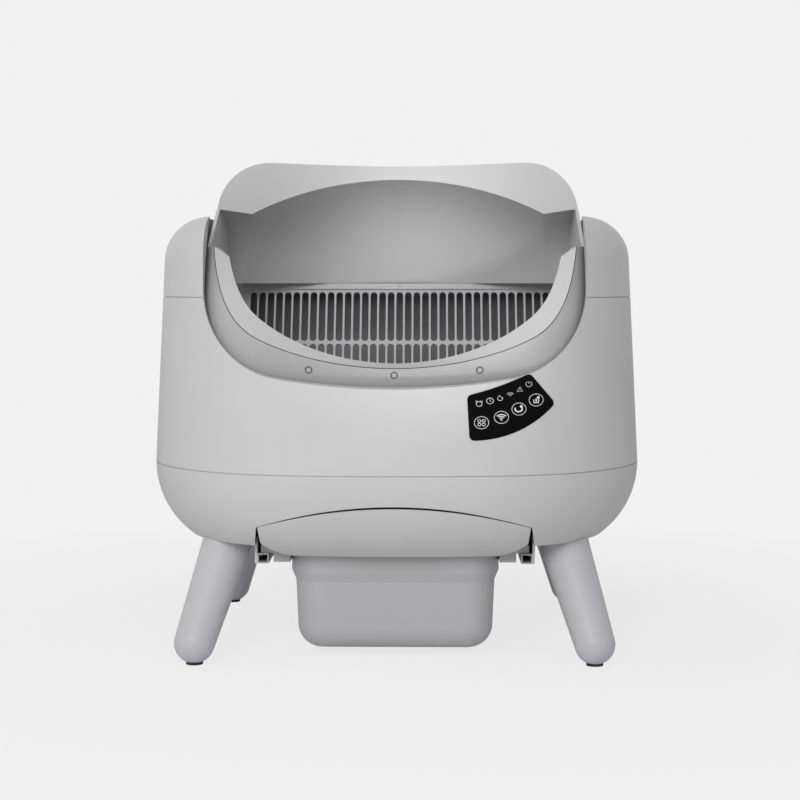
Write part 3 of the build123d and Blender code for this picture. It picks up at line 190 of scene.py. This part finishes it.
def maths_of(tree, kind, operation, *values):
    """A maths node. Each value is a socket to link or a constant."""
    made = tree.nodes.new(kind)
    made.operation = operation
    for socket, value in zip(made.inputs, values):
        if isinstance(value, bpy.types.NodeSocket):
            tree.links.new(value, socket)
        else:
            socket.default_value = value
    return made


def scalar_of(tree, operation, *values):
    return maths_of(tree, "ShaderNodeMath", operation, *values).outputs["Value"]


def noise_of(tree, scale, detail=3.0, roughness=0.55):
    place = tree.nodes.new("ShaderNodeTexCoord")
    noise = node_of(tree, "ShaderNodeTexNoise", Scale=scale, Detail=detail, Roughness=roughness)
    tree.links.new(place.outputs["Object"], noise.inputs["Vector"])
    return noise.outputs["Fac"]


def range_of(tree, value, low, high, source=NOISE_RANGE):
    span = tree.nodes.new("ShaderNodeMapRange")
    for key, limit in zip(("From Min", "From Max", "To Min", "To Max"), (*source, low, high)):
        span.inputs[key].default_value = limit
    tree.links.new(value, span.inputs["Value"])
    return span.outputs["Result"]


def shades_of(tree, value, dark, light):
    ramp = tree.nodes.new("ShaderNodeValToRGB")
    for stop, position, colour in zip(ramp.color_ramp.elements, NOISE_RANGE, (dark, light)):
        stop.position = position
        stop.color = (*colour, 1)
    tree.links.new(value, ramp.inputs["Fac"])
    return ramp.outputs["Color"]


def bump_of(tree, shader, height, strength, distance):
    bump = node_of(tree, "ShaderNodeBump", Strength=strength, Distance=distance)
    tree.links.new(height, bump.inputs["Height"])
    tree.links.new(bump.outputs["Normal"], shader.inputs["Normal"])


def mix_shaders(tree, share, first, second, target):
    mixed = tree.nodes.new("ShaderNodeMixShader")
    tree.links.new(share, mixed.inputs["Fac"])
    tree.links.new(first, mixed.inputs[1])
    tree.links.new(second, mixed.inputs[2])
    tree.links.new(mixed.outputs["Shader"], tree.nodes[target].inputs["Surface"])


# Finishes
def surface(name, shades, shade_scale, gloss, gloss_scale):
    """A material with its colour between two shades and its roughness between two limits, by noise."""
    material, tree, shader = new_material(name)
    shade = shades_of(tree, noise_of(tree, shade_scale), *shades)
    tree.links.new(shade, shader.inputs["Base Color"])
    tree.links.new(range_of(tree, noise_of(tree, gloss_scale), *gloss), shader.inputs["Roughness"])
    return material, tree, shader


def moulded_plastic(name, colour, roughness, grain=1.0):
    """Satin moulded plastic: spark-eroded grain, faint flow shading and uneven gloss."""
    dark = [c * (1 - PLASTIC_FLOW_SPREAD) for c in colour]
    light = [min(1.0, c * (1 + PLASTIC_FLOW_SPREAD)) for c in colour]
    gloss = [roughness + spread for spread in PLASTIC_GLOSS_SPREAD]
    made = surface(name, (dark, light), PLASTIC_FLOW_SCALE, gloss, PLASTIC_GLOSS_SCALE)
    material, tree, shader = made
    height = noise_of(tree, PLASTIC_GRAIN_SCALE, PLASTIC_GRAIN_DETAIL)
    bump_of(tree, shader, height, PLASTIC_GRAIN_STRENGTH * grain, PLASTIC_GRAIN_HEIGHT)
    shader.inputs["Specular IOR Level"].default_value = PLASTIC_SPECULAR
    return material


def plastic_with_painted_shade(name, colour, painted_shade, roughness):
    """The same plastic with painted shade: a near-black colour on its inside faces behind the sieve's
    plane.
    """
    material = moulded_plastic(name, colour, roughness)
    tree = material.node_tree
    shader = tree.nodes["Principled BSDF"]
    plain = shader.inputs["Base Color"].links[0].from_socket
    place = tree.nodes.new("ShaderNodeTexCoord")
    run = Vector(SIEVE_TOP_YZ) - Vector(SIEVE_FOOT_YZ)
    behind = Vector((0, run.y, -run.x)).normalized()
    start = behind.dot(Vector((0, *SIEVE_TOP_YZ))) + POCKET_START
    vector_maths = "ShaderNodeVectorMath"
    reach = maths_of(tree, vector_maths, "DOT_PRODUCT", place.outputs["Object"], behind)
    beyond = scalar_of(tree, "GREATER_THAN", reach.outputs["Value"], start * MM)
    axis = (0, 0, AXIS_Z * MM)
    outward = maths_of(tree, vector_maths, "SUBTRACT", place.outputs["Object"], axis).outputs["Vector"]
    facing = maths_of(tree, vector_maths, "DOT_PRODUCT", outward, place.outputs["Normal"])
    inside = scalar_of(tree, "LESS_THAN", facing.outputs["Value"], 0)
    # Mix in the painted shade colour where the face is behind the sieve's plane and faces the axis
    mixed = tree.nodes.new("ShaderNodeMix")
    mixed.data_type = "RGBA"
    tree.links.new(scalar_of(tree, "MULTIPLY", beyond, inside), mixed.inputs["Factor"])
    tree.links.new(plain, mixed.inputs[MIX_FIRST])
    mixed.inputs[MIX_SECOND].default_value = (*painted_shade, 1)
    tree.links.new(mixed.outputs[MIX_RESULT], shader.inputs["Base Color"])
    return material


def gloss_black(name):
    shades = ((0.0022, 0.0022, 0.0024), (0.0034, 0.0034, 0.0037))
    material, _, shader = surface(name, shades, 30.0, (0.10, 0.16), 60.0)
    shader.inputs["Specular IOR Level"].default_value = LENS_SPECULAR
    return material


def printed_white(name):
    shades = ((0.72, 0.72, 0.72), (0.86, 0.86, 0.86))
    material, _, _ = surface(name, shades, 2500.0, (0.45, 0.6), 800.0)
    return material


def rubber(name):
    shades = ((0.008, 0.008, 0.008), (0.018, 0.018, 0.018))
    material, tree, shader = surface(name, shades, 120.0, (0.7, 0.9), 300.0)
    height = noise_of(tree, RUBBER_GRAIN_SCALE)
    bump_of(tree, shader, height, RUBBER_GRAIN_STRENGTH, RUBBER_GRAIN_HEIGHT)
    return material


def metal(name, colour, roughness, brush):
    dark = [c * METAL_DARK_SHARE for c in colour]
    gloss = [roughness + spread for spread in METAL_GLOSS_SPREAD]
    made = surface(name, (dark, colour), METAL_SHADE_SCALE, gloss, METAL_GLOSS_SCALE)
    material, tree, shader = made
    bump_of(tree, shader, noise_of(tree, METAL_BRUSH_SCALE), brush, METAL_BRUSH_HEIGHT)
    shader.inputs["Metallic"].default_value = 1.0
    return material


def circuit_board(name):
    """Solder-mask green with fine copper tracks showing through."""
    material, tree, shader = new_material(name)
    place = tree.nodes.new("ShaderNodeTexCoord")
    tracks = node_of(tree, "ShaderNodeTexBrick", Scale=TRACK_SCALE)
    tracks.inputs["Color1"].default_value = (0.010, 0.090, 0.030, 1)
    tracks.inputs["Color2"].default_value = (0.014, 0.110, 0.038, 1)
    tracks.inputs["Mortar"].default_value = (0.035, 0.200, 0.060, 1)
    tree.links.new(place.outputs["Object"], tracks.inputs["Vector"])
    tree.links.new(tracks.outputs["Color"], shader.inputs["Base Color"])
    tree.links.new(range_of(tree, noise_of(tree, 200.0), 0.25, 0.4), shader.inputs["Roughness"])
    return material


FINISHES = {
    "shell": moulded_plastic("shell_grey", (0.62, 0.62, 0.62), 0.42),
    "drum": moulded_plastic("drum_grey", (0.62, 0.62, 0.62), 0.34),
    "sieve": moulded_plastic("sieve_grey", (0.60, 0.60, 0.61), 0.38),
    "leg": moulded_plastic("leg_lavender", (0.56, 0.56, 0.585), 0.45),
    # The bin's grey is darker than the shell's although it is the same plastic: painted shade where the
    # body overhangs the bin
    "bin": moulded_plastic("bin_grey_painted_shade", (0.49, 0.49, 0.50), 0.40),
    "liner": moulded_plastic("liner_grey", (0.30, 0.30, 0.31), 0.5),
    "rubber": rubber("pad_rubber"),
    "lens": gloss_black("lens_black"),
    "rail": moulded_plastic("rail_grey", (0.42, 0.42, 0.43), 0.4),
    "steel": metal("screw_steel", (0.55, 0.55, 0.56), 0.32, 0.08),
    "bearing": moulded_plastic("bush_white", (0.75, 0.75, 0.72), 0.3, 0.4),
    "drive": moulded_plastic("gear_ivory", (0.70, 0.68, 0.62), 0.35, 0.4),
    "motor": metal("motor_can", (0.36, 0.36, 0.38), 0.38, 0.05),
    "board": circuit_board("board_green"),
    "black": moulded_plastic("black_plastic", (0.015, 0.015, 0.016), 0.45),
    # bowl_grey carries painted shade: near-black on the inner faces behind the sieve, where the pocket
    # lies in shade
    "bowl": plastic_with_painted_shade("bowl_grey", (0.62, 0.62, 0.62), (0.13, 0.13, 0.135), 0.34),
    "collar": moulded_plastic("collar_grey", (0.46, 0.46, 0.46), 0.36),
    # seam_painted_shade is near-black: painted shade in the collar's parting groove and in the gaps round
    # its screw heads
    "seam": moulded_plastic("seam_painted_shade", (0.10, 0.10, 0.10), 0.6),
    "magnet": metal("magnet_nickel", (0.60, 0.60, 0.60), 0.2, 0.02),
}
SLOT_OF = {item["node"]: item["material_slot"] for item in frame["record"]["subparts"]}
OWN_FINISH = {"drum_bowl": "bowl", "collar_screws": "collar"}
for name, obj in nodes.items():
    obj.data.materials.clear()
    obj.data.materials.append(FINISHES[OWN_FINISH.get(name, SLOT_OF[name])])


# Mesh helpers
def new_piece(name, verts, faces, materials, body):
    mesh = bpy.data.meshes.new(name)
    mesh.from_pydata(verts, [], faces)
    for material in materials:
        mesh.materials.append(material)
    piece = bpy.data.objects.new(name, mesh)
    scene.collection.objects.link(piece)
    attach(piece, body)
    return piece


def tube_faces(first, rows, count, closed):
    """Faces of a tube whose first vertex is given: rows along it, count vertices round each row."""
    faces = []
    for i in range(rows if closed else rows - 1):
        n = (i + 1) % rows
        for j in range(count):
            k = (j + 1) % count
            corners = ((i, j), (n, j), (n, k), (i, k))
            faces.append(tuple(first + row * count + column for row, column in corners))
    if not closed:
        last = first + (rows - 1) * count
        faces.append(tuple(range(first, first + count)))
        faces.append(tuple(reversed(range(last, last + count))))
    return faces


def halved(low, high, is_low):
    """Where is_low turns false between low and high, found by halving."""
    for _ in range(HALVINGS):
        middle = (low + high) / 2
        if is_low(middle):
            low = middle
        else:
            high = middle
    return high


# Front collar with its parting line: rows along the U, columns round the section
def barrel_radius(x, grow):
    corner = BARREL_CORNER + grow
    over = max(0.0, abs(x) - (BARREL_HALF_WIDTH - BARREL_CORNER))
    return BARREL_RADIUS - BARREL_CORNER + sqrt(max(0.0, corner**2 - over**2))


def on_barrel(x, z, grow):
    return Vector((x, -sqrt(max(0.0, barrel_radius(x, grow) ** 2 - (z - AXIS_Z) ** 2)), z))


def through_three(y, values):
    """The parabola through the lip's three sections, at this depth."""
    total = 0.0
    for i, value in enumerate(values):
        for j, other in enumerate(LIP_Y):
            if j != i:
                value *= (y - other) / (LIP_Y[i] - other)
        total += value
    return total


def lip_point(turn, y, power):
    side_z = through_three(y, LIP_SIDE_Z)
    drop = side_z - through_three(y, LIP_BOTTOM_Z)
    x = -through_three(y, LIP_HALF_WIDTH) * cos(turn)
    return Vector((x, y, side_z - drop * sin(turn) ** power))


def lip_on_barrel(turn, grow, power):
    """Where the lip at this turn round the U meets the barrel grown by this much."""
    def outside(y):
        point = lip_point(turn, y, power)
        return hypot(point.y, point.z - AXIS_Z) > barrel_radius(point.x, grow)

    return lip_point(turn, halved(LIP_Y[0], LIP_Y[-1], outside), power)


def first_turn(grow, power, top_z):
    """The turn at which the lip starts at this height, on the collar's upper end."""
    return halved(0.0, pi / 2, lambda turn: lip_on_barrel(turn, grow, power).z > top_z)


def border_line():
    """The collar's outer border in the front view: two sides, two corners and a crowned bottom."""
    inner = BORDER_HALF_WIDTH - BORDER_CORNER
    rise = BORDER_CROWN - sqrt(BORDER_CROWN**2 - inner**2)
    corner_z = BORDER_BOTTOM_Z + rise + BORDER_CORNER
    half = [(-BORDER_HALF_WIDTH, COLLAR_TOP_Z)]
    for i in range(CORNER_STEPS + 1):
        a = pi / 2 * i / CORNER_STEPS
        x = -BORDER_HALF_WIDTH + BORDER_CORNER * (1 - cos(a))
        half.append((x, corner_z - BORDER_CORNER * sin(a)))
    for i in range(1, CROWN_STEPS + 1):
        share = 1 - i / CROWN_STEPS
        half.append((-inner * share, BORDER_BOTTOM_Z + rise * share**2))
    return half + [(-x, z) for x, z in reversed(half[:-1])]


def border_beyond(line, point):
    """Where a ray from the U's top middle through this point meets the border, in the front view."""
    ray = Vector((point.x, point.z - COLLAR_TOP_Z))
    for a, b in zip(line, line[1:]):
        start = Vector((a[0], a[1] - COLLAR_TOP_Z))
        end = Vector((b[0], b[1] - COLLAR_TOP_Z))
        before = start.x * ray.y - start.y * ray.x
        after = end.x * ray.y - end.y * ray.x
        if before >= 0 >= after and before > after:
            met = start.lerp(end, before / (before - after))
            return Vector((met.x, met.y + COLLAR_TOP_Z))
    return Vector(line[0] if point.x < 0 else line[-1])


def collar_row(line, crease_turn, edge_turn):
    """One section of the collar: its face, the seam, the sloping lip and the inside."""
    crease = lip_on_barrel(crease_turn, COLLAR_RISE, CREASE_POWER)
    edge = lip_on_barrel(edge_turn, -COLLAR_DEPTH, EDGE_POWER)
    border = border_beyond(line, crease)
    top = Vector((crease.x, crease.z))
    face_share = max(FACE_SHARE_MIN, 1 - SEAM_WIDTH / max((top - border).length, SEAM_WIDTH))
    row = []
    for i in range(FACE_STEPS + 1):
        flat = border.lerp(top, face_share * i / FACE_STEPS)
        row.append(on_barrel(flat.x, flat.y, COLLAR_RISE))
    flat = border.lerp(top, (1 + face_share) / 2)
    row.append(on_barrel(flat.x, flat.y, COLLAR_RISE - SEAM_DEPTH))
    row += [crease, edge]
    inside = BARREL_HALF_WIDTH - COLLAR_DEPTH - SEAM_WIDTH
    row.append(on_barrel(max(-inside, min(inside, border.x)), border.y, -COLLAR_DEPTH))
    return row


def make_collar():
    line = border_line()
    crease_start = first_turn(COLLAR_RISE, CREASE_POWER, COLLAR_TOP_Z)
    edge_start = first_turn(-COLLAR_DEPTH, EDGE_POWER, EDGE_TOP_Z)
    rows = []
    for i in range(COLLAR_ROWS + 1):
        share = i / COLLAR_ROWS
        crease_turn = crease_start + share * (pi - 2 * crease_start)
        edge_turn = edge_start + share * (pi - 2 * edge_start)
        rows.append(collar_row(line, crease_turn, edge_turn))
    count = len(rows[0])
    verts = [point * MM for row in rows for point in row]
    faces = tube_faces(0, len(rows), count, closed=False)
    finishes = [FINISHES["drum"], FINISHES["collar"], FINISHES["seam"]]
    # The seam's groove faces take the near-black finish: painted shade in the groove
    face_finish, groove_shade_finish = 1, 2
    piece = new_piece("collar_trim", verts, faces, finishes, "drum")
    for index, face in enumerate(piece.data.polygons[: COLLAR_ROWS * count]):
        column = index % count
        if column < FACE_STEPS:
            face.material_index = face_finish
        elif column < FACE_STEPS + SEAM_COLUMNS:
            face.material_index = groove_shade_finish
    piece.data.shade_smooth()
    piece.data.set_sharp_from_angle(angle=radians(SHARP_DEG))
    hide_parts("front_collar")


def make_screw_rings():
    """Near-black rings in the gaps round the collar's screw heads: painted shade in the gaps."""
    verts = []
    faces = []
    across = Vector((1, 0, 0))
    for x, fall_deg in SCREW_PLACES:
        out = Vector((0, -cos(radians(fall_deg)), -sin(radians(fall_deg))))
        up = across.cross(out)
        middle = Vector((x, 0, AXIS_Z)) + out * (BARREL_RADIUS + COLLAR_RISE)
        faces += tube_faces(len(verts), RING_STEPS, RING_SIDES, closed=True)
        for i in range(RING_STEPS):
            a = 2 * pi * i / RING_STEPS
            radial = across * cos(a) + up * sin(a)
            for j in range(RING_SIDES):
                b = 2 * pi * j / RING_SIDES
                wide = radial * (SCREW_RING_RADIUS + SCREW_RING_THICK * cos(b))
                verts.append((middle + wide + out * (SCREW_RING_HEIGHT * sin(b))) * MM)
    piece = new_piece("collar_screw_rings", verts, faces, [FINISHES["seam"]], "drum")
    piece.data.shade_smooth()


make_collar()
make_screw_rings()


# Signs printed on the lens: strokes in the front view, laid on the lens face
lens_mesh = nodes["control_lens"].data
lens_corners = [vertex.co for vertex in lens_mesh.vertices]
lens_face = BVHTree.FromPolygons(lens_corners, [face.vertices for face in lens_mesh.polygons])
print_white = printed_white("sign_white")


def on_lens(x, z, lift):
    hit = lens_face.ray_cast(Vector((x, RAY_START_Y, z)), Vector((0, 1, 0)))[0]
    return Vector((x, hit.y - lift, z))


def arc(x, z, radius, start_deg=0.0, end_deg=360.0, steps=28):
    turn = radians(end_deg - start_deg) / steps
    angles = [radians(start_deg) + i * turn for i in range(steps + 1)]
    return [(x + radius * cos(a), z + radius * sin(a)) for a in angles]


def stroke(verts, faces, points, width):
    """Adds a closed ribbon of this width along the points, which may end where they start."""
    closed = (Vector(points[0]) - Vector(points[-1])).length < SAME_POINT
    if closed:
        points = points[:-1]
    count = len(points)
    low, high = LIFT, LIFT + PRINT_THICK
    section = ((-1, low), (1, low), (1, high), (-1, high))
    faces += tube_faces(len(verts), count, len(section), closed)
    for i, point in enumerate(points):
        before = Vector(points[i - 1] if closed or i else point)
        after = Vector(points[(i + 1) % count] if closed or i < count - 1 else point)
        along = (after - before).normalized()
        across = Vector((-along.y, along.x)) * width / 2
        for side, lift in section:
            verts.append(on_lens(point[0] + side * across.x, point[1] + side * across.y, lift))


def sign(name, place, size, width, paths):
    """One sign about its place: each path is in shares of the size, with its share of the stroke width."""
    x, z = place[0] * MM, place[1] * MM
    verts = []
    faces = []
    for path, heavy in paths:
        points = [(x + px * size, z + pz * size * SIGN_HEIGHT_SHARE) for px, pz in path]
        stroke(verts, faces, points, width * heavy)
    new_piece(name, verts, faces, [print_white], "housing")


RING = (arc(0, 0, 1.0, steps=48), 1.0)
EARS = [([(s * 0.80, 0.20), (s * 0.95, 1.05), (s * 0.25, 0.75)], 1.0) for s in (-1, 1)]
PET = [(arc(0, -0.05, 0.85), 1.0), *EARS]
TIMER = [RING, ([(0, 0.6), (0, 0), (0.4, -0.2)], 1.0)]
FINGERS = [(-0.7, 0.05), (-0.15, 0.95), (0.1, 0.35), (0.7, 0.05)]
HAND = [(arc(0, -0.2, 0.75, -200, 20), 1.0), (FINGERS, 1.0)]
SIGNAL = [(arc(0, -0.75, r, 45, 135, 12), 0.8) for r in (0.35, 0.85, 1.35)]
TRIANGLE = [(-0.9, -0.7), (0.9, -0.7), (0, 0.9), (-0.9, -0.7)]
ALERT = [(TRIANGLE, 1.0), ([(0, 0.3), (0, -0.3)], 1.0)]
POWER = [(arc(0, 0, 0.9, 120, 420), 1.0), ([(0, 0.95), (0, 0.1)], 1.0)]
STATUS_SIGNS = [
    ("status_pet", PET),
    ("status_timer", TIMER),
    ("status_hand", HAND),
    ("status_signal", SIGNAL),
    ("status_alert", ALERT),
    ("status_power", POWER),
]
for (name, paths), place in zip(STATUS_SIGNS, STATUS_PLACES):
    sign(name, place, STATUS_RADIUS, STATUS_STROKE, paths)

FOUR = [(arc(sx * 0.3, sz * 0.3, 0.22, steps=18), 1.1) for sx in (-1, 1) for sz in (-1, 1)]
LINK = [(arc(0, -0.45, r, 45, 135, 14), 1.7) for r in (0.34, 0.63, 0.92)]
LINK.append((arc(0, -0.42, 0.06, steps=14), 1.6))
BOWL = [(arc(-0.05, 0.05, 0.5, 160, 380), 2.6), (arc(0.32, 0.42, 0.12, steps=14), 2.4)]
TUB = [(-0.35, 0.1), (-0.3, -0.45), (0.3, -0.45), (0.35, 0.1)]
BIN = [(TUB, 2.2), (arc(0.3, 0.4, 0.12, steps=14), 2.4), ([(0, 0.25), (0, -0.3)], 2.2)]
KEY_SIGNS = [("key_modes", FOUR), ("key_link", LINK), ("key_level", BOWL), ("key_clean", BIN)]
for (name, paths), place in zip(KEY_SIGNS, KEY_PLACES):
    sign(name, place, KEY_RADIUS, KEY_STROKE, [RING, *paths])


# Stage: pale floor that keeps a soft shadow near the object and fades into the backdrop
def pale_floor():
    mesh = bpy.data.meshes.new("floor")
    half = FLOOR_HALF_WIDTH
    corners = [(-half, -half, 0), (half, -half, 0), (half, half, 0), (-half, half, 0)]
    mesh.from_pydata(corners, [], [(0, 1, 2, 3)])
    floor = bpy.data.objects.new("floor", mesh)
    scene.collection.objects.link(floor)
    material, tree, shader = new_material("floor_pale")
    shader.inputs["Base Color"].default_value = (FLOOR_GREY, FLOOR_GREY, FLOOR_GREY, 1)
    shader.inputs["Roughness"].default_value = FLOOR_ROUGHNESS
    shader.inputs["Specular IOR Level"].default_value = FLOOR_SPECULAR
    glow = node_of(tree, "ShaderNodeEmission", Strength=BACKDROP_LEVEL)
    place = tree.nodes.new("ShaderNodeTexCoord")
    reach = maths_of(tree, "ShaderNodeVectorMath", "LENGTH", place.outputs["Object"])
    fade = range_of(tree, reach.outputs["Value"], FADE_NEAR, 1.0, (FADE_START, FADE_END))
    path = tree.nodes.new("ShaderNodeLightPath")
    share = scalar_of(tree, "MULTIPLY", path.outputs["Is Camera Ray"], fade)
    mix_shaders(tree, share, shader.outputs["BSDF"], glow.outputs["Emission"], "Material Output")
    mesh.materials.append(material)


def studio_world():
    """An even backdrop for what is seen straight or mirrored, and the ambient light for all else."""
    world = bpy.data.worlds.new("studio")
    scene.world = world
    world.use_nodes = True
    tree = world.node_tree
    ambient = tree.nodes["Background"]
    ambient.inputs["Color"].default_value = WHITE
    place = tree.nodes.new("ShaderNodeTexCoord")
    parts = tree.nodes.new("ShaderNodeSeparateXYZ")
    tree.links.new(place.outputs["Generated"], parts.inputs["Vector"])
    level = range_of(tree, parts.outputs["X"], AMBIENT_LEFT, AMBIENT_RIGHT, (-1.0, 1.0))
    tree.links.new(level, ambient.inputs["Strength"])
    backdrop = node_of(tree, "ShaderNodeBackground", Color=WHITE, Strength=BACKDROP_LEVEL)
    path = tree.nodes.new("ShaderNodeLightPath")
    seen = path.outputs["Is Camera Ray"]
    for ray in ("Is Glossy Ray", "Is Transmission Ray"):
        seen = scalar_of(tree, "MAXIMUM", seen, path.outputs[ray])
    mix_shaders(tree, seen, ambient.outputs["Background"], backdrop.outputs["Background"], "World Output")


def aimed_light(lamp, place, aim, watts):
    lamp.energy = watts
    obj = bpy.data.objects.new(lamp.name, lamp)
    obj.location = place
    obj.rotation_mode = "QUATERNION"
    obj.rotation_quaternion = (Vector(aim) - Vector(place)).to_track_quat("-Z", "Y")
    scene.collection.objects.link(obj)


pale_floor()
studio_world()

key = bpy.data.lights.new("key", "AREA")
key.shape = "RECTANGLE"
key.size, key.size_y = KEY_SIZE
aimed_light(key, KEY_PLACE, KEY_AIM, KEY_WATTS)

snoot = bpy.data.lights.new("hood_light", "SPOT")
snoot.spot_size = radians(HOOD_CONE_DEG)
snoot.spot_blend = 1.0
snoot.shadow_soft_size = HOOD_LIGHT_RADIUS
aimed_light(snoot, HOOD_LIGHT_PLACE, HOOD_LIGHT_AIM, HOOD_WATTS)

# Camera
camera_data = bpy.data.cameras.new("camera")
camera_data.lens = CAMERA_LENS
camera_data.sensor_width = SENSOR_WIDTH
camera = bpy.data.objects.new("camera", camera_data)
camera.location = CAMERA_PLACE
camera.rotation_euler = (radians(90 + CAMERA_TILT_DEG), 0, radians(CAMERA_TURN_DEG))
scene.collection.objects.link(camera)
scene.camera = camera

scene.view_settings.view_transform = "Standard"
